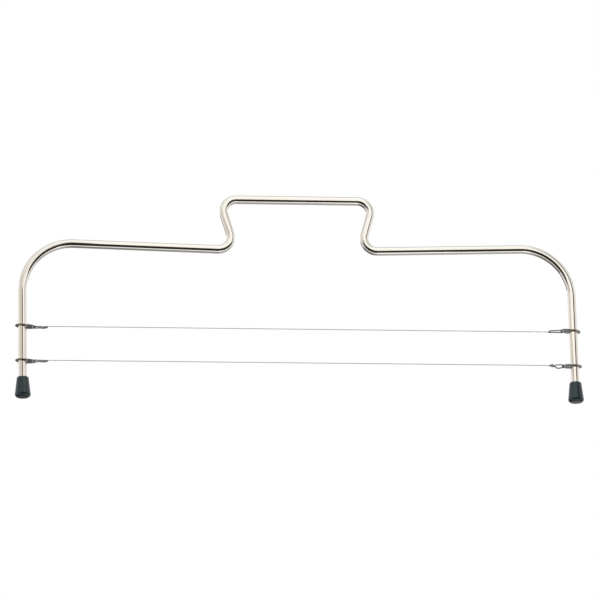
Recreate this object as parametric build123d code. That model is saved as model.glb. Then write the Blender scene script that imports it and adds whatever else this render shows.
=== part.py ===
from build123d import *
import os

# A cake leveler: one bent rod stands on two rubber feet and carries two cutting wires, whose ends slide
# along its notched legs. Lengths are millimetres. +Z is up and both feet stand on z = 0. The rod lies in
# the plane y = 0, with its width along X. Left is -X.

# The bent rod. Its corners are given on the centre line: each bar falls a little from the shoulder to
# the neck, where the hand grip rises.
overall_width = 330.0
rod_diameter = 5.0
shoulder_height = 94.0
bar_fall = 3.5
grip_rise = 31.0
neck_half_width = 36.5
grip_half_width = 45.5
shoulder_bend_radius = 29.0
grip_bend_radius = 7.5

# The rubber feet, pushed on the rod's ends. The bore is a little tighter than the rod.
foot_height = 12.8
foot_base_diameter = 9.6
foot_top_diameter = 6.4
foot_floor = 2.7
foot_base_rounding = 1.9
foot_top_rounding = 0.7
foot_grip = 0.1
rod_end_gap = 0.3

# The notches on the outer side of each leg, counted up from the foot. The last two values are how many
# notches are left free below each wire.
notch_pitch = 2.55
notch_count = 19
first_notch_rise = 4.4
notch_depth = 0.2
notch_radius = 0.8
lower_wire_notch_count = 2
upper_wire_notch_count = 10

# The stamped lugs: thin oval plates with a hole round the leg and an eye near the inner tip
lug_thickness = 0.4
lug_clearance = 0.3
lug_rim = 1.5
lug_tip_radius = 4.0
eye_reach = 6.0
eye_diameter = 1.7
eye_rim = 0.7

# The ties: a hooked wire whose two strands run into a twisted end, which grips the cutting wire
tie_wire_diameter = 0.8
hook_clearance = 0.35
tie_strand_length = 4.3
tie_lead_length = 0.8
tie_twist_length = 3.5
tie_twist_diameter = 2.0
tie_tip_diameter = 0.9
tie_tip_length = 0.9

# The cutting wires
wire_diameter = 0.5
wire_grip_length = 2.5
wire_clearance = 0.05

# How far each cutting tool runs past the face that it cuts
overrun = 1.0

leg_x = (overall_width - foot_base_diameter) / 2
neck_height = shoulder_height - bar_fall
grip_height = neck_height + grip_rise
rod_radius = rod_diameter / 2
first_notch_height = foot_height + first_notch_rise
hook_radius = (lug_thickness + tie_wire_diameter) / 2 + hook_clearance
hook_reach = eye_reach + (eye_diameter + eye_rim) / 2
twist_start = hook_reach + tie_strand_length
twist_end = twist_start + tie_twist_length


def notch_height(index):
    """Height of one notch's middle above the ground."""
    return first_notch_height + index * notch_pitch


def frame_rod():
    """The rod, bent in one plane: leg, shoulder, bar, hand grip and the same again, with its notches."""
    left_half = [
        (-leg_x, 0, foot_floor + rod_end_gap),
        (-leg_x, 0, shoulder_height),
        (-neck_half_width, 0, neck_height),
        (-grip_half_width, 0, grip_height),
    ]
    right_half = [(-x, y, z) for x, y, z in reversed(left_half)]
    left_bends = [shoulder_bend_radius, grip_bend_radius, grip_bend_radius]
    path = FilletPolyline(left_half + right_half, radius=left_bends + left_bends[::-1])
    section = Plane(origin=path @ 0, z_dir=path % 0) * Circle(rod_radius)
    rod = sweep(section, path=path)
    cutter = Rotation(90, 0, 0) * Cylinder(notch_radius, rod_diameter + 2 * overrun)
    cutter_x = leg_x + rod_radius + notch_radius - notch_depth
    heights = [notch_height(index) for index in range(notch_count)]
    return rod - [Pos(side * cutter_x, 0, height) * cutter for side in (-1, 1) for height in heights]


def foot(side):
    """A tapered rubber tip with a well rounded base and a blind bore for the rod."""
    body = Pos(0, 0, foot_height / 2) * Cone(foot_base_diameter / 2, foot_top_diameter / 2, foot_height)
    rims = body.edges().filter_by(GeomType.CIRCLE).sort_by(Axis.Z)
    body = fillet(rims[0], foot_base_rounding)
    rims = body.edges().filter_by(GeomType.CIRCLE).sort_by(Axis.Z)
    body = fillet(rims[-1], foot_top_rounding)
    bore_length = foot_height - foot_floor + overrun
    body -= Pos(0, 0, foot_floor + bore_length / 2) * Cylinder(rod_radius - foot_grip, bore_length)
    return Pos(side * leg_x, 0, 0) * body


def lug():
    """One lug round an upright leg at the origin, with its eye towards +X."""
    hole_radius = rod_radius + lug_clearance
    ring = Circle(hole_radius + lug_rim)
    tip_end = eye_reach + eye_diameter / 2 + eye_rim
    tip = Pos(tip_end - lug_tip_radius, 0) * Circle(lug_tip_radius)
    outline = make_hull((ring + tip).edges())
    outline -= Circle(hole_radius)
    outline -= Pos(eye_reach, 0) * Circle(eye_diameter / 2)
    return Pos(0, 0, -lug_thickness / 2) * extrude(outline, lug_thickness)


def tie():
    """One tie: a hook through the lug's eye, two strands and the twisted end, with a bore for the wire."""
    strand_radius = tie_wire_diameter / 2
    strand_end = twist_start + tie_lead_length
    bend_start = hook_reach + hook_radius
    upper_strand = FilletPolyline(
        (strand_end, 0, strand_radius),
        (bend_start, 0, hook_radius),
        (hook_reach, 0, hook_radius),
        radius=hook_radius,
    )
    lower_strand = FilletPolyline(
        (hook_reach, 0, -hook_radius),
        (bend_start, 0, -hook_radius),
        (strand_end, 0, -strand_radius),
        radius=hook_radius,
    )
    bend = ThreePointArc(upper_strand @ 1, (hook_reach - hook_radius, 0, 0), lower_strand @ 0)
    path = upper_strand + bend + lower_strand
    hook = sweep(Plane(origin=path @ 0, z_dir=path % 0) * Circle(strand_radius), path=path)
    twist_radius = tie_twist_diameter / 2
    profile = Polyline(
        (twist_start, 0),
        (twist_start, strand_radius),
        (twist_start + tie_lead_length, twist_radius),
        (twist_end - tie_tip_length, twist_radius),
        (twist_end, tie_tip_diameter / 2),
        (twist_end, 0),
        close=True,
    )
    twist = revolve(make_face(profile), Axis.X)
    bore_length = wire_grip_length + overrun
    bore_middle = twist_end - wire_grip_length + bore_length / 2
    bore = Rotation(0, 90, 0) * Cylinder(wire_diameter / 2 + wire_clearance, bore_length)
    return hook + twist - Pos(bore_middle, 0, 0) * bore


def on_leg(piece, side, notch):
    """Puts a piece made round the origin at one leg's notch, facing the other leg."""
    turn = 0 if side < 0 else 180
    return Pos(side * leg_x, 0, notch_height(notch)) * Rotation(0, 0, turn) * piece


def cutting_wire(notch):
    """A taut wire between the two ties of one level."""
    half_length = leg_x - twist_end + wire_grip_length - wire_clearance
    centre = Pos(0, 0, notch_height(notch))
    return centre * Rotation(0, 90, 0) * Cylinder(wire_diameter / 2, 2 * half_length)


pieces = {"frame_rod": frame_rod()}
for side_name, side in (("left", -1), ("right", 1)):
    pieces[f"{side_name}_foot"] = foot(side)
for level_name, notch in (("lower", lower_wire_notch_count), ("upper", upper_wire_notch_count)):
    pieces[f"{level_name}_cutting_wire"] = cutting_wire(notch)
    for side_name, side in (("left", -1), ("right", 1)):
        pieces[f"{level_name}_{side_name}_lug"] = on_leg(lug(), side, notch)
        pieces[f"{level_name}_{side_name}_tie"] = on_leg(tie(), side, notch)

os.makedirs("parts", exist_ok=True)
for name, piece in pieces.items():
    export_step(piece, f"parts/{name}.step")
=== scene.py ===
import bmesh
import bpy
import math
from mathutils import Matrix, Vector


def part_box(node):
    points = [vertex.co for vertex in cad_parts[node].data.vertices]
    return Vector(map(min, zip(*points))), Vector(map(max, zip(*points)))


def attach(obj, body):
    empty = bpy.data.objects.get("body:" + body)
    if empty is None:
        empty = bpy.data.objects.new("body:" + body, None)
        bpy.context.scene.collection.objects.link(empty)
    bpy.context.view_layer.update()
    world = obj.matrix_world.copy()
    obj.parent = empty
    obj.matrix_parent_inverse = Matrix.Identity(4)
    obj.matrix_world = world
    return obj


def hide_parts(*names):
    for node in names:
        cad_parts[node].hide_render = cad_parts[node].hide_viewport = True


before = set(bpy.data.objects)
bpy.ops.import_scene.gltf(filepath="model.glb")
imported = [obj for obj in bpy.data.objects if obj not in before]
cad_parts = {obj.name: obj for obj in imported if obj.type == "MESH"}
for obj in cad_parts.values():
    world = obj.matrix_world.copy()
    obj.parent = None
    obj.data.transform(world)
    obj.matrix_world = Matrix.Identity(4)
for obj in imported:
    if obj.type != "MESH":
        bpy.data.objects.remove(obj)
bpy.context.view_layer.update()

# A cake leveler on a pale floor. Its sizes are written in millimetres and turned to metres by MM, and those
# of the studio round it are in metres.
MM = 0.001

foot_low, foot_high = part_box("right_foot")
LEG_X = (foot_low.x + foot_high.x) / 2
CAD_FOOT_TOP = foot_high.z
ROD_RADIUS = 2.5 * MM
LEVELS = ("lower", "upper")
SIDES = (("left", -1), ("right", 1))
MERGE_DISTANCE = 0.001 * MM


def finish_piece(name, bm, material, body, node, smooth_under=35):
    """Turns a bmesh into a piece that stands for one node: smooth, with its sharp edges kept."""
    bmesh.ops.recalc_face_normals(bm, faces=bm.faces)
    for face in bm.faces:
        face.smooth = True
    for edge in bm.edges:
        edge.smooth = edge.calc_face_angle(0) < math.radians(smooth_under)
    mesh = bpy.data.meshes.new(name)
    bm.to_mesh(mesh)
    bm.free()
    piece = bpy.data.objects.new(name, mesh)
    bpy.context.scene.collection.objects.link(piece)
    mesh.materials.append(material)
    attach(piece, body)
    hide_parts(node)
    return piece


def linear(hex_colour):
    """An sRGB hex colour as linear RGBA."""
    parts = [int(hex_colour[i:i + 2], 16) / 255 for i in (1, 3, 5)]
    return [c / 12.92 if c <= 0.04045 else ((c + 0.055) / 1.055) ** 2.4 for c in parts] + [1]


def add(tree, kind, settings=None, **links):
    """Adds one node. Settings are its properties or its sockets' values, links its sockets' sources."""
    node = tree.nodes.new("ShaderNode" + kind)
    for key, value in (settings or {}).items():
        if key in node.inputs:
            node.inputs[key].default_value = value
        elif key.isdigit():
            node.inputs[int(key)].default_value = value
        else:
            setattr(node, key, value)
    for key, source in links.items():
        socket = node.inputs[int(key[1:])] if key[1:].isdigit() else node.inputs[key.replace("_", " ")]
        tree.links.new(source, socket)
    return node


def start(name):
    """A new material with an empty tree and its output."""
    material = bpy.data.materials.new(name)
    material.use_nodes = True
    material.node_tree.nodes.clear()
    return material, material.node_tree, add(material.node_tree, "OutputMaterial")


def nickel_plated_rod():
    """Bright nickel plating on drawn steel rod: a warm mirror, faintly softened by lines along its length."""
    material, tree, output = start("nickel_plated_rod")
    drawn = add(tree, "Attribute", {"attribute_name": "drawn"}).outputs["Vector"]
    # The drawing lines are about 0.05 mm apart. They are drawn 0.5 mm apart, so that they show.
    stretched = add(tree, "Mapping", {"Scale": (1, 1, 0.02)}, Vector=drawn).outputs[0]
    lines = add(tree, "TexNoise", {"Scale": 2, "Detail": 2, "Roughness": 0.5}, Vector=stretched).outputs[0]
    clouds = add(tree, "TexNoise", {"Scale": 0.06, "Detail": 4}, Vector=drawn).outputs[0]
    rough = add(tree, "MapRange", {"From Min": 0.3, "From Max": 0.7, "To Min": 0.04, "To Max": 0.1},
                Value=lines)
    bump = add(tree, "Bump", {"Strength": 0.02, "Distance": 0.02 * MM}, Height=lines)
    tint = add(tree, "Mix", {"data_type": "RGBA", "6": linear("#e6e1da"), "7": linear("#edeae3")}, i0=clouds)
    shader = add(tree, "BsdfPrincipled", {"Metallic": 1}, Roughness=rough.outputs[0], Normal=bump.outputs[0],
                 Base_Color=tint.outputs[2])
    tree.links.new(shader.outputs[0], output.inputs[0])
    return material


def black_rubber():
    """Moulded black rubber: nearly black with a cool cast, a clear sheen and a fine grain."""
    material, tree, output = start("black_rubber")
    place = add(tree, "TexCoord").outputs["Object"]
    # The real grain is about 0.05 mm. It is drawn at about 0.25 mm, so that it shows. A scuff is about 3 mm.
    grain = add(tree, "TexNoise", {"Scale": 4000, "Detail": 3, "Roughness": 0.6}, Vector=place).outputs[0]
    scuffs = add(tree, "TexNoise", {"Scale": 350, "Detail": 4, "Roughness": 0.7}, Vector=place).outputs[0]
    rough = add(tree, "MapRange", {"From Min": 0.3, "From Max": 0.7, "To Min": 0.2, "To Max": 0.3},
                Value=scuffs)
    bump = add(tree, "Bump", {"Strength": 0.25, "Distance": 0.03 * MM}, Height=grain)
    tint = add(tree, "Mix", {"data_type": "RGBA", "6": linear("#0e1e22"), "7": linear("#1c3035")}, i0=scuffs)
    shader = add(tree, "BsdfPrincipled", {"IOR": 1.52}, Roughness=rough.outputs[0], Normal=bump.outputs[0],
                 Base_Color=tint.outputs[2])
    tree.links.new(shader.outputs[0], output.inputs[0])
    return material


def dull_steel(name, dark, light, smoothest, roughest, spots, painted_leg_shading=None):
    """Bare worked steel: a grey metal with darker and rougher spots, whose width is given in millimetres.

    A colour of painted shade and reflection shows only where the piece passes a leg.
    """
    material, tree, output = start(name)
    place = add(tree, "TexCoord").outputs["Object"]
    mottle = add(tree, "TexNoise", {"Scale": 1 / (spots * MM), "Detail": 5, "Roughness": 0.65}, Vector=place)
    marks = add(tree, "TexNoise", {"Scale": 8 / (spots * MM), "Detail": 2}, Vector=place).outputs[0]
    spread = add(tree, "MapRange", {"From Min": 0.35, "From Max": 0.65}, Value=mottle.outputs[0]).outputs[0]
    rough = add(tree, "MapRange", {"To Min": roughest, "To Max": smoothest}, Value=spread)
    bump = add(tree, "Bump", {"Strength": 0.3, "Distance": 0.02 * MM}, Height=marks)
    tint = add(tree, "Mix", {"data_type": "RGBA", "6": linear(dark), "7": linear(light)}, i0=spread)
    # Painted shade and reflection: the given colour takes the mottle's place where the piece passes a leg
    if painted_leg_shading:
        across = add(tree, "SeparateXYZ", None, Vector=place).outputs["X"]
        outward = add(tree, "Math", {"operation": "ABSOLUTE"}, i0=across).outputs[0]
        near = add(tree, "Math", {"operation": "COMPARE", "1": LEG_X, "2": ROD_RADIUS}, i0=outward).outputs[0]
        tint = add(tree, "Mix", {"data_type": "RGBA", "7": linear(painted_leg_shading)}, i0=near, i6=tint.outputs[2])
    shader = add(tree, "BsdfPrincipled", {"Metallic": 1}, Roughness=rough.outputs[0], Normal=bump.outputs[0],
                 Base_Color=tint.outputs[2])
    tree.links.new(shader.outputs[0], output.inputs[0])
    return material


ROD_METAL = nickel_plated_rod()
RUBBER = black_rubber()
# Blanked from bare sheet: a cool grey mottle, with warm painted shade and reflection where it passes the leg
LUG_METAL = dull_steel("stamped_mild_steel", "#84888a", "#a6a9a9", smoothest=0.3, roughest=0.5, spots=1.5,
                       painted_leg_shading="#b5a695")
# Softened by heat, so that it can be twisted by hand: the darkest of the three
TIE_METAL = dull_steel("annealed_tie_wire", "#7c7c7a", "#a09f9c", smoothest=0.28, roughest=0.45, spots=0.8)
# Drawn fine and bright: the palest of the three, and the smoothest
WIRE_METAL = dull_steel("stranded_stainless_wire", "#b9b7b2", "#d3d1cc", smoothest=0.2, roughest=0.35,
                        spots=0.6)


# The rod
SHOULDER_HEIGHT = 94 * MM
NECK_HEIGHT = 90.5 * MM
GRIP_HEIGHT = 121.5 * MM
NECK_HALF_WIDTH = 36.5 * MM
GRIP_HALF_WIDTH = 45.5 * MM
SHOULDER_BEND = 29 * MM
GRIP_BEND = 7.5 * MM
ROD_END = 3 * MM
NOTCH_PITCH = 2.55 * MM
NOTCH_COUNT = 19
NOTCH_RADIUS = 0.8 * MM
NOTCH_DEPTH = 0.14 * MM
FIRST_NOTCH = CAD_FOOT_TOP + 4.4 * MM
# A notch is shaped by rings this far above and below its middle, in millimetres
NOTCH_RISES = (-0.45, -0.36, -0.22, 0, 0.22, 0.36, 0.45)
RING_IN_FOOT = CAD_FOOT_TOP - 2 * MM
ROD_SIDES = 72
ROD_END_ROUNDING = 0.4 * MM


def leg_rings():
    """Heights of a leg's rings: one hidden in the foot, and those of the notches."""
    middles = [FIRST_NOTCH + index * NOTCH_PITCH for index in range(NOTCH_COUNT)]
    return [RING_IN_FOOT] + [middle + rise * MM for middle in middles for rise in NOTCH_RISES]


def press_notches(bm):
    """Presses the rows of notches into the outer sides of both legs."""
    deepest = ROD_RADIUS + NOTCH_RADIUS - NOTCH_DEPTH
    for vert in bm.verts:
        index = round((vert.co.z - FIRST_NOTCH) / NOTCH_PITCH)
        rise = vert.co.z - FIRST_NOTCH - index * NOTCH_PITCH
        if 0 <= index < NOTCH_COUNT and abs(rise) < NOTCH_RADIUS and abs(vert.co.x) > LEG_X:
            limit = LEG_X + deepest - math.sqrt(NOTCH_RADIUS ** 2 - rise ** 2)
            vert.co.x = math.copysign(min(abs(vert.co.x), limit), vert.co.x)


def bent_rod():
    """The one rod: a ring is run up the left leg, round each bend and down the right leg."""
    left_half = [(-LEG_X, ROD_END), (-LEG_X, SHOULDER_HEIGHT), (-NECK_HALF_WIDTH, NECK_HEIGHT),
                 (-GRIP_HALF_WIDTH, GRIP_HEIGHT)]
    right_half = [(-x, z) for x, z in reversed(left_half)]
    corners = [Vector((x, 0, z)) for x, z in left_half + right_half]
    # Each corner's bend radius and how many steps it is spun in. The two ends have none.
    left_bends = [(0, 0), (SHOULDER_BEND, 40), (GRIP_BEND, 16), (GRIP_BEND, 16)]
    bends = left_bends + left_bends[::-1]
    bm = bmesh.new()
    # This layer holds each point's place as if the rod were straight: across it in x and y and along it in
    # z, in millimetres. The drawing lines follow it.
    drawn = bm.verts.layers.float_vector.new("drawn")
    here = corners[0]
    travelled = 0.0
    bmesh.ops.create_circle(bm, cap_ends=False, segments=ROD_SIDES, radius=ROD_RADIUS,
                            matrix=Matrix.Translation(here))
    ring = bm.edges[:]
    for vert in bm.verts:
        vert[drawn] = (vert.co - here) / MM

    def mark(edges):
        for vert in {v for edge in edges for v in edge.verts}:
            vert[drawn].z = travelled / MM

    def run(edges, offset):
        new = bmesh.ops.extrude_edge_only(bm, edges=edges)["geom"]
        verts = [g for g in new if isinstance(g, bmesh.types.BMVert)]
        bmesh.ops.translate(bm, verts=verts, vec=offset)
        return [g for g in new if isinstance(g, bmesh.types.BMEdge) and all(v in verts for v in g.verts)]

    for index in range(1, len(corners)):
        way = (corners[index] - corners[index - 1]).normalized()
        last = index == len(corners) - 1
        radius, steps = bends[index]
        turn = 0 if last else way.angle(corners[index + 1] - corners[index])
        stops = []
        if index == 1 or last:
            heights = leg_rings() if index == 1 else leg_rings()[::-1]
            stops = [Vector((here.x, 0, height)) for height in heights]
        for stop in stops + [corners[index] - way * radius * math.tan(turn / 2)]:
            ring = run(ring, stop - here)
            travelled += (stop - here).length
            mark(ring)
            here = stop
        if last:
            break
        axis = way.cross(corners[index + 1] - corners[index]).normalized()
        centre = here + axis.cross(way) * radius
        for _ in range(steps):
            spun = bmesh.ops.spin(bm, geom=ring, cent=centre, axis=axis, angle=turn / steps, steps=1)
            ring = [g for g in spun["geom_last"] if isinstance(g, bmesh.types.BMEdge)]
            travelled += radius * turn / steps
            mark(ring)
        here = centre + Matrix.Rotation(turn, 3, axis) @ (here - centre)
    press_notches(bm)
    ends = [e for e in bm.edges if e.is_boundary]
    bmesh.ops.holes_fill(bm, edges=ends, sides=0)
    bmesh.ops.bevel(bm, geom=ends, offset=ROD_END_ROUNDING, offset_type="OFFSET", segments=2, profile=0.5,
                    affect="EDGES", material=-1)
    return finish_piece("bent_rod", bm, ROD_METAL, "frame", "frame_rod")


# The feet, which are a little lower than the solids that they stand for, as in the photograph
FOOT_BASE_RADIUS = 4.77 * MM
FOOT_RIM_RADIUS = 3.4 * MM
FOOT_HEIGHT = 12.1 * MM
FOOT_BORE_RADIUS = 2.42 * MM
FOOT_FLOOR = 2.7 * MM
FOOT_BASE_ROUNDING = 2.15 * MM
FOOT_RIM_ROUNDING = 0.8 * MM
FOOT_SIDES = 72


def foot_tip(side_name, side):
    """A turned rubber tip: its half outline is rounded at its corners and spun round the leg."""
    bm = bmesh.new()
    outline = [(0, 0), (FOOT_BASE_RADIUS, 0), (FOOT_RIM_RADIUS, FOOT_HEIGHT), (FOOT_BORE_RADIUS, FOOT_HEIGHT),
               (FOOT_BORE_RADIUS, FOOT_FLOOR), (0, FOOT_FLOOR)]
    verts = [bm.verts.new((side * LEG_X + reach, 0, height)) for reach, height in outline]
    for a, b in zip(verts, verts[1:]):
        bm.edges.new((a, b))
    for vert, rounding, segments in ((verts[1], FOOT_BASE_ROUNDING, 12), (verts[2], FOOT_RIM_ROUNDING, 8)):
        bmesh.ops.bevel(bm, geom=[vert], offset=rounding, offset_type="OFFSET", segments=segments,
                        profile=0.5, affect="VERTICES", material=-1)
    # Only the two walls are longer than the base's radius
    walls = [e for e in bm.edges if e.calc_length() > FOOT_BASE_RADIUS]
    bmesh.ops.subdivide_edges(bm, edges=walls, cuts=8)
    bmesh.ops.spin(bm, geom=bm.verts[:] + bm.edges[:], cent=(side * LEG_X, 0, 0), axis=(0, 0, 1),
                   angle=math.tau, steps=FOOT_SIDES, use_merge=True)
    bmesh.ops.remove_doubles(bm, verts=bm.verts, dist=MERGE_DISTANCE)
    name = side_name + "_foot"
    return finish_piece(name + "_tip", bm, RUBBER, "frame", name)


# The lugs
LUG_RADIUS = 4.3 * MM
LUG_HOLE = 2.7 * MM
LUG_TIP_REACH = 3.55 * MM
LUG_TIP_RADIUS = 4 * MM
EYE_REACH = 6 * MM
EYE_HOLE = 0.85 * MM
LUG_THICKNESS = 0.4 * MM
LUG_RIM_ROUNDING = 0.1 * MM
# An edge whose faces turn by more than this, in radians, is part of a rim
RIM_TURN = 1.2
# How each lug hangs in its notch: how far its eye has tipped down, in degrees, and how high it sits
LUG_HANGS = {
    "upper_left": (5, 0.1 * MM),
    "lower_left": (4, -0.35 * MM),
    "upper_right": (-5, 0.35 * MM),
    "lower_right": (-2, -0.5 * MM),
}


def lug_outline(bm):
    """The oval outline: one large arc round the leg and a smaller one at the tip, joined by two lines."""
    lean = math.acos((LUG_RADIUS - LUG_TIP_RADIUS) / LUG_TIP_REACH)
    for reach, radius, begin, sweep, steps in ((0, LUG_RADIUS, lean, math.tau - 2 * lean, 40),
                                               (LUG_TIP_REACH, LUG_TIP_RADIUS, -lean, 2 * lean, 24)):
        corner = bm.verts.new((reach + radius * math.cos(begin), radius * math.sin(begin), 0))
        bmesh.ops.spin(bm, geom=[corner], cent=(reach, 0, 0), axis=(0, 0, 1), angle=sweep, steps=steps)
    ends = [v for v in bm.verts if len(v.link_edges) == 1]
    for sign in (-1, 1):
        bm.edges.new([v for v in ends if v.co.y * sign > 0])


def lug_plate(level, side_name, side):
    """A stamped oval plate: its outline and two holes are filled, given thickness, and its rims rolled."""
    key = f"{level}_{side_name}"
    node = key + "_lug"
    low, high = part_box(node)
    bm = bmesh.new()
    lug_outline(bm)
    for reach, radius, segments in ((0, LUG_HOLE, 40), (EYE_REACH, EYE_HOLE, 20)):
        bmesh.ops.create_circle(bm, cap_ends=False, segments=segments, radius=radius,
                                matrix=Matrix.Translation((reach, 0, 0)))
    filled = bmesh.ops.triangle_fill(bm, use_beauty=True, edges=bm.edges[:])["geom"]
    faces = [g for g in filled if isinstance(g, bmesh.types.BMFace)]
    raised = bmesh.ops.extrude_face_region(bm, geom=faces, use_keep_orig=True)["geom"]
    bmesh.ops.translate(bm, verts=[g for g in raised if isinstance(g, bmesh.types.BMVert)],
                        vec=(0, 0, LUG_THICKNESS))
    bmesh.ops.recalc_face_normals(bm, faces=bm.faces)
    rims = [e for e in bm.edges if e.calc_face_angle(0) > RIM_TURN]
    bmesh.ops.bevel(bm, geom=rims, offset=LUG_RIM_ROUNDING, offset_type="OFFSET", segments=2, profile=0.5,
                    affect="EDGES", material=-1)
    tipped, rise = LUG_HANGS[key]
    tip = Matrix.Rotation(math.radians(tipped), 4, "Y")
    turn = Matrix.Rotation(0 if side < 0 else math.pi, 4, "Z")
    middle = Matrix.Translation((side * LEG_X, 0, (low.z + high.z) / 2 + rise))
    flat = Matrix.Translation((0, 0, -LUG_THICKNESS / 2))
    bmesh.ops.transform(bm, matrix=middle @ turn @ tip @ flat, verts=bm.verts)
    return finish_piece(node + "_plate", bm, LUG_METAL, key + "_slider", node, 50)


# The ties
TIE_RADIUS = 0.36 * MM
# Each tie is twisted by hand, so no two are alike. Lengths below are in millimetres. Each hook is centred at
# one reach from the leg's axis, and has its height from the wire's line and its radius. A station has its
# reach from the leg's axis, how high its middle lies, how far each strand stands off it, and how far the
# pair has turned there, in degrees.
HOOK_REACH = 7.2
HOOK_ANGLES = (0, 45, 90, 135, 180)
TIE_HOOKS = {
    "upper_left": (-0.5, 0.65),
    "lower_left": (-0.5, 0.65),
    "upper_right": (0.35, 0.7),
    "lower_right": (-0.35, 0.8),
}
TIE_STATIONS = {
    "upper_left": [
        (8.0, -0.6, 0.46, 0), (9.0, -0.6, 0.4, 10), (10.2, -0.6, 0.38, 25), (11.4, -0.7, 0.42, 0),
        (12.6, -0.75, 0.46, -30), (13.7, -0.6, 0.44, -40), (14.6, -0.25, 0.45, -50),
    ],
    "lower_left": [
        (8.0, -0.5, 0.48, 0), (9.0, -0.5, 0.42, 10), (10.2, -0.45, 0.4, 30), (11.4, -0.55, 0.42, 0),
        (12.6, -0.65, 0.46, -30), (13.7, -0.5, 0.44, -40), (14.6, -0.2, 0.45, -50),
    ],
    "upper_right": [
        (8.1, 0.35, 0.62, 0), (9.2, 0.3, 0.6, 5), (10.2, 0.35, 0.6, 10), (11.2, 0.35, 0.5, 0),
        (12.2, 0.3, 0.6, 20), (13.2, 0.2, 0.6, 10), (14.0, 0.05, 0.5, 40), (14.7, 0, 0.4, 110),
    ],
    "lower_right": [
        (8.2, -0.45, 0.95, 0), (9.4, -0.6, 1.05, 0), (10.6, -0.55, 0.9, 5), (11.5, -0.4, 0.6, 40),
        (12.2, -0.3, 0.45, 100), (13.1, -0.1, 0.62, 180), (14.0, -0.1, 0.5, 230), (14.7, -0.05, 0.38, 310),
    ],
}


def tie_points(height, radius, stations):
    """One line of points along the whole tie: in along one strand, round the hook, out along the other."""
    first, second = [], []
    for reach, middle, off, turn in stations:
        angle = math.radians(turn)
        offset = Vector((0, -math.sin(angle), math.cos(angle))) * off
        first.append(Vector((reach, 0, middle)) + offset)
        second.append(Vector((reach, 0, middle)) - offset)
    hook = [Vector((HOOK_REACH - radius * math.sin(angle), 0, height + radius * math.cos(angle)))
            for angle in map(math.radians, HOOK_ANGLES)]
    return first[::-1] + hook + second


def twisted_tie(level, side_name, side):
    """A bent wire: a round section swept along the tie's line, with its two ends capped."""
    key = f"{level}_{side_name}"
    node = key + "_tie"
    low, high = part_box(key + "_lug")
    curve = bpy.data.curves.new(node, "CURVE")
    curve.dimensions = "3D"
    curve.bevel_depth = TIE_RADIUS
    curve.bevel_resolution = 4
    curve.resolution_u = 6
    curve.use_fill_caps = True
    points = tie_points(*TIE_HOOKS[key], TIE_STATIONS[key])
    spline = curve.splines.new("BEZIER")
    spline.bezier_points.add(len(points) - 1)
    for bezier, point in zip(spline.bezier_points, points):
        bezier.co = point * MM
        bezier.handle_left_type = bezier.handle_right_type = "AUTO"
    holder = bpy.data.objects.new(node + "_line", curve)
    bpy.context.scene.collection.objects.link(holder)
    bpy.context.view_layer.update()
    swept = bpy.data.meshes.new_from_object(holder.evaluated_get(bpy.context.evaluated_depsgraph_get()))
    bm = bmesh.new()
    bm.from_mesh(swept)
    bpy.data.objects.remove(holder)
    bmesh.ops.remove_doubles(bm, verts=bm.verts, dist=MERGE_DISTANCE)
    turn = Matrix.Rotation(0 if side < 0 else math.pi, 4, "Z")
    middle = Matrix.Translation((side * LEG_X, 0, (low.z + high.z) / 2))
    bmesh.ops.transform(bm, matrix=middle @ turn, verts=bm.verts)
    return finish_piece(node + "_wire", bm, TIE_METAL, level + "_wire", node)


# The cutting wires
STRAND_RADIUS = 0.125 * MM
STRAND_SIDES = 8
TURN_STEPS = 16
# One turn is repeated three times, and then the whole is doubled five times
WIRE_COPIES = (3, 2, 2, 2, 2, 2)


def cutting_wire(level):
    """Two fine strands laid round each other: one turn of each is spun, then repeated along the wire."""
    node = level + "_cutting_wire"
    low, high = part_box(node)
    height = (low.z + high.z) / 2
    length = (high.x - low.x) / math.prod(WIRE_COPIES)
    bm = bmesh.new()
    for side in (-1, 1):
        section = Matrix.Translation((low.x, 0, height + side * STRAND_RADIUS))
        made = bmesh.ops.create_circle(bm, cap_ends=False, segments=STRAND_SIDES, radius=STRAND_RADIUS,
                                       matrix=section @ Matrix.Rotation(math.pi / 2, 4, "Y"))["verts"]
        ring = list({e for v in made for e in v.link_edges})
        bmesh.ops.spin(bm, geom=ring, cent=(low.x, 0, height), axis=(1, 0, 0),
                       dvec=(length / TURN_STEPS, 0, 0), angle=math.tau, steps=TURN_STEPS)
    for count in WIRE_COPIES:
        stretch = bm.verts[:] + bm.edges[:] + bm.faces[:]
        for index in range(1, count):
            more = bmesh.ops.duplicate(bm, geom=stretch)["geom"]
            bmesh.ops.translate(bm, verts=[g for g in more if isinstance(g, bmesh.types.BMVert)],
                                vec=(index * length, 0, 0))
        length *= count
    bmesh.ops.remove_doubles(bm, verts=bm.verts, dist=MERGE_DISTANCE)
    bmesh.ops.holes_fill(bm, edges=[e for e in bm.edges if e.is_boundary], sides=0)
    return finish_piece(level + "_stranded_wire", bm, WIRE_METAL, level + "_wire", node, 60)


bent_rod()
feet = [foot_tip(side_name, side) for side_name, side in SIDES]
for level in LEVELS:
    cutting_wire(level)
    for side_name, side in SIDES:
        lug_plate(level, side_name, side)
        twisted_tie(level, side_name, side)


# The studio. The rod is a mirror, so what stands round it gives the rod its dark and light lines. The cards
# are seen by reflections alone. One lamp lights the feet and another the floor.

# Heights of the cards' edges
CARD_LOW = -0.6
GLINT_TOP = -0.4
CARD_SPLIT = 0.09
GAP_TOP = 0.175
WALL_TOP = 0.3
CARD_HIGH = 0.8
# How far forward and back they stand
FRONT_Y = -0.34
PANEL_Y = -0.33
MIDDLE_Y = -0.06
BACK_Y = 0.9
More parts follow.
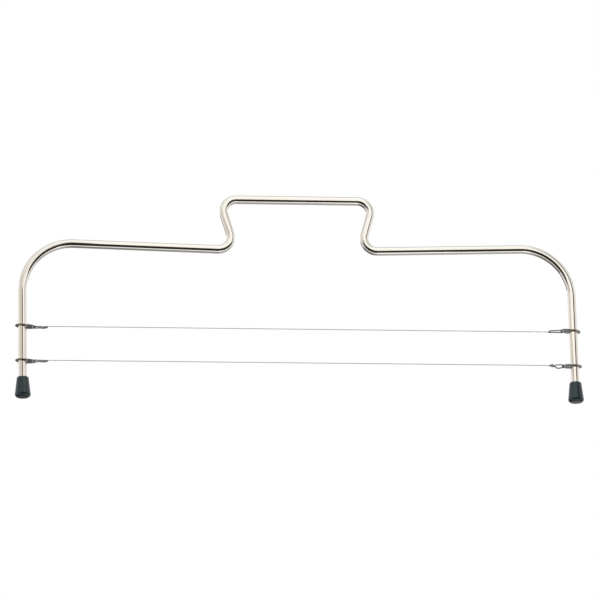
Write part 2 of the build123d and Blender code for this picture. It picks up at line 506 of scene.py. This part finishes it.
# The upright edges, from left to right: those of the upper cards, then those of the low ones in front
LEFT_WALL_X = -0.7
LEFT_PANEL_X = -0.24
FRONT_PANEL_X = -0.1
RIGHT_GAP_X = 0.3
RIGHT_WALL_X = 0.53
RIGHT_END_X = 0.93
LOW_LEFT_X = -1.4
DARK_LEFT_X = -0.4
GLINT_LEFT_X = 0.08
GLINT_RIGHT_X = 0.19
# How far the widest cards and the floor reach to each side
CARD_SIDE = 1.5
FLOOR_SIDE = 3
LAMP_TARGET = Vector((0, 0, 0.06))


def card(name, colour, left, right, corners):
    """A glowing card with four corners, seen by reflections alone.

    Its strength runs from one value at the left leg to another at the right leg.
    """
    bm = bmesh.new()
    bmesh.ops.contextual_create(bm, geom=[bm.verts.new(corner) for corner in corners])
    mesh = bpy.data.meshes.new(name)
    bm.to_mesh(mesh)
    bm.free()
    material, tree, output = start(name)
    place = add(tree, "SeparateXYZ", None, Vector=add(tree, "TexCoord").outputs["Object"])
    level = add(tree, "MapRange", {"From Min": -LEG_X, "From Max": LEG_X, "To Min": left, "To Max": right},
                Value=place.outputs["X"])
    glow = add(tree, "Emission", {"Color": linear(colour)}, Strength=level.outputs[0])
    tree.links.new(glow.outputs[0], output.inputs[0])
    mesh.materials.append(material)
    piece = bpy.data.objects.new(name, mesh)
    bpy.context.scene.collection.objects.link(piece)
    piece.visible_camera = piece.visible_diffuse = piece.visible_shadow = False
    piece.visible_transmission = piece.visible_volume_scatter = False


def standing_card(name, colour, left, right, start_at, end_at, low, high):
    """An upright card over a line on the ground, between two heights."""
    (x0, y0), (x1, y1) = start_at, end_at
    card(name, colour, left, right, [(x0, y0, low), (x1, y1, low), (x1, y1, high), (x0, y0, high)])


def lying_card(name, colour, left, right, front, back, height):
    """A level card, as wide as the studio."""
    card(name, colour, left, right, [(-CARD_SIDE, front, height), (CARD_SIDE, front, height),
                                     (CARD_SIDE, back, height), (-CARD_SIDE, back, height)])


def reflected_cards():
    """White above, dark low in front, grey below and behind, a dark gap on each side of the front panel."""
    left_end = (LEFT_WALL_X, 0)
    left_panel = (LEFT_PANEL_X, PANEL_Y)
    front_panel = (FRONT_PANEL_X, PANEL_Y)
    right_gap = (RIGHT_GAP_X, PANEL_Y)
    right_wall = (RIGHT_WALL_X, PANEL_Y)
    right_end = (RIGHT_END_X, 0)
    standing_card("front_panel", "#fffdf8", 1.2, 1.2, front_panel, right_gap, CARD_SPLIT, CARD_HIGH)
    standing_card("left_panel", "#fffdfa", 1.1, 1.1, left_panel, front_panel, GAP_TOP, CARD_HIGH)
    standing_card("left_gap", "#a08c7c", 0.4, 0.4, left_panel, front_panel, CARD_SPLIT, GAP_TOP)
    standing_card("right_gap", "#a08c7c", 0.03, 0.03, right_gap, right_wall, CARD_SPLIT, CARD_HIGH)
    standing_card("left_wall", "#fff6ee", 0.75, 0.75, left_end, left_panel, CARD_SPLIT, WALL_TOP)
    standing_card("high_left_wall", "#fffdfa", 1, 1, left_end, left_panel, WALL_TOP, CARD_HIGH)
    standing_card("right_wall", "#fffaf4", 0.85, 0.85, right_wall, right_end, CARD_SPLIT, WALL_TOP)
    standing_card("high_right_wall", "#fffdfa", 1, 1, right_wall, right_end, WALL_TOP, CARD_HIGH)

    dark_left = (DARK_LEFT_X, FRONT_Y)
    standing_card("dark_front", "#c8c0b4", 0.04, 0.06, dark_left, (CARD_SIDE, FRONT_Y), CARD_LOW, CARD_SPLIT)
    standing_card("front_glint", "#ffffff", 1.2, 1.2, (GLINT_LEFT_X, PANEL_Y), (GLINT_RIGHT_X, PANEL_Y),
                  CARD_LOW, GLINT_TOP)
    standing_card("left_low", "#e8e6e4", 0.35, 0.35, (LOW_LEFT_X, FRONT_Y), dark_left, CARD_LOW, CARD_SPLIT)
    lying_card("floor_strip", "#ffffff", 1.05, 1.35, FRONT_Y, MIDDLE_Y, CARD_LOW)
    lying_card("grey_floor", "#fffcf8", 0.17, 0.5, MIDDLE_Y, BACK_Y, CARD_LOW)
    standing_card("grey_back", "#fffcf8", 0.17, 0.5, (-CARD_SIDE, BACK_Y), (CARD_SIDE, BACK_Y),
                  CARD_LOW, WALL_TOP)
    lying_card("front_ceiling", "#fcffff", 1.35, 1.35, FRONT_Y, MIDDLE_Y, CARD_HIGH)
    lying_card("back_ceiling", "#fafffc", 0.72, 0.72, MIDDLE_Y, BACK_Y, CARD_HIGH)


def pale_floor():
    """A pale matt floor. Only a camera above it sees it, so it throws no light on the leveler."""
    bm = bmesh.new()
    bmesh.ops.create_grid(bm, x_segments=1, y_segments=1, size=FLOOR_SIDE)
    mesh = bpy.data.meshes.new("floor")
    bm.to_mesh(mesh)
    bm.free()
    material, tree, output = start("pale_floor")
    camera_ray = add(tree, "LightPath").outputs["Is Camera Ray"]
    below = add(tree, "NewGeometry").outputs["Backfacing"]
    shown = add(tree, "Math", {"operation": "SUBTRACT", "use_clamp": True}, i0=camera_ray, i1=below)
    matt = add(tree, "BsdfDiffuse", {"Color": linear("#f1f1ef")})
    clear = add(tree, "BsdfTransparent")
    mix = add(tree, "MixShader", None, i0=shown.outputs[0], i1=clear.outputs[0], i2=matt.outputs[0])
    tree.links.new(mix.outputs[0], output.inputs[0])
    mesh.materials.append(material)
    floor = bpy.data.objects.new("floor", mesh)
    bpy.context.scene.collection.objects.link(floor)
    return floor


def white_world(strength):
    """A white room: full white to the camera, reflections and glass, and of a given strength as a light."""
    world = bpy.data.worlds.new("white_room")
    world.use_nodes = True
    tree = world.node_tree
    tree.nodes.clear()
    path = add(tree, "LightPath")
    seen = add(tree, "Math", {"operation": "ADD", "use_clamp": True}, i0=path.outputs["Is Camera Ray"],
               i1=path.outputs["Is Glossy Ray"])
    seen = add(tree, "Math", {"operation": "ADD", "use_clamp": True}, i0=seen.outputs[0],
               i1=path.outputs["Is Transmission Ray"])
    level = add(tree, "MapRange", {"To Min": strength, "To Max": 1}, Value=seen.outputs[0])
    glow = add(tree, "Background", {"Color": (1, 1, 1, 1)}, Strength=level.outputs[0])
    output = add(tree, "OutputWorld")
    tree.links.new(glow.outputs[0], output.inputs[0])
    bpy.context.scene.world = world


def soft_lamp(name, centre, size, power, lit):
    """A square soft lamp that lights only the given pieces. Reflections show the cards in its place."""
    lamp = bpy.data.lights.new(name, "AREA")
    lamp.shape = "SQUARE"
    lamp.size = size
    lamp.energy = power
    holder = bpy.data.objects.new(name, lamp)
    aim = (LAMP_TARGET - Vector(centre)).to_track_quat("-Z", "Y").to_matrix().to_4x4()
    holder.matrix_world = Matrix.Translation(centre) @ aim
    holder.visible_glossy = False
    bpy.context.scene.collection.objects.link(holder)
    pieces = bpy.data.collections.new(name + "_pieces")
    for piece in lit:
        pieces.objects.link(piece)
    holder.light_linking.receiver_collection = pieces


floor = pale_floor()
white_world(strength=0.2)
soft_lamp("front_lamp", centre=(-0.35, -1.4, 0.1), size=0.5, power=17, lit=feet)
soft_lamp("high_lamp", centre=(1.5, -3, 7), size=1.5, power=430, lit=[floor])
reflected_cards()


# The camera
CAMERA_YAW = math.radians(-6.615)
CAMERA_RISE = math.radians(-18)
CAMERA_ROLL = math.radians(-1.37)
CAMERA_DISTANCE = 2.6
CAMERA_TARGET = Vector((0.58 * MM, 0, 60.47 * MM))
# A millimetre at the target and the whole width of the image, both in pixels
PIXELS_PER_MM = 1.7253
IMAGE_WIDTH = 600
# The sensor's width, in millimetres
SENSOR_WIDTH = 36


def photographer_camera():
    """A long lens, low in front and a little to the left, that looks up at the leveler."""
    level = Vector((math.cos(CAMERA_YAW), math.sin(CAMERA_YAW), 0))
    front = Vector((math.sin(CAMERA_YAW), -math.cos(CAMERA_YAW), 0))
    back = front * math.cos(CAMERA_RISE) + Vector((0, 0, math.sin(CAMERA_RISE)))
    up = back.cross(level)
    right = level * math.cos(CAMERA_ROLL) + up * math.sin(CAMERA_ROLL)
    top = up * math.cos(CAMERA_ROLL) - level * math.sin(CAMERA_ROLL)
    camera = bpy.data.cameras.new("photographer")
    camera.sensor_width = SENSOR_WIDTH
    camera.lens = PIXELS_PER_MM * CAMERA_DISTANCE / MM * SENSOR_WIDTH / IMAGE_WIDTH
    camera.clip_start, camera.clip_end = 0.05, 20
    holder = bpy.data.objects.new("photographer", camera)
    turn = Matrix((right, top, back)).transposed().to_4x4()
    holder.matrix_world = Matrix.Translation(CAMERA_TARGET + back * CAMERA_DISTANCE) @ turn
    bpy.context.scene.collection.objects.link(holder)
    bpy.context.scene.camera = holder


photographer_camera()
bpy.context.scene.view_settings.view_transform = "Standard"
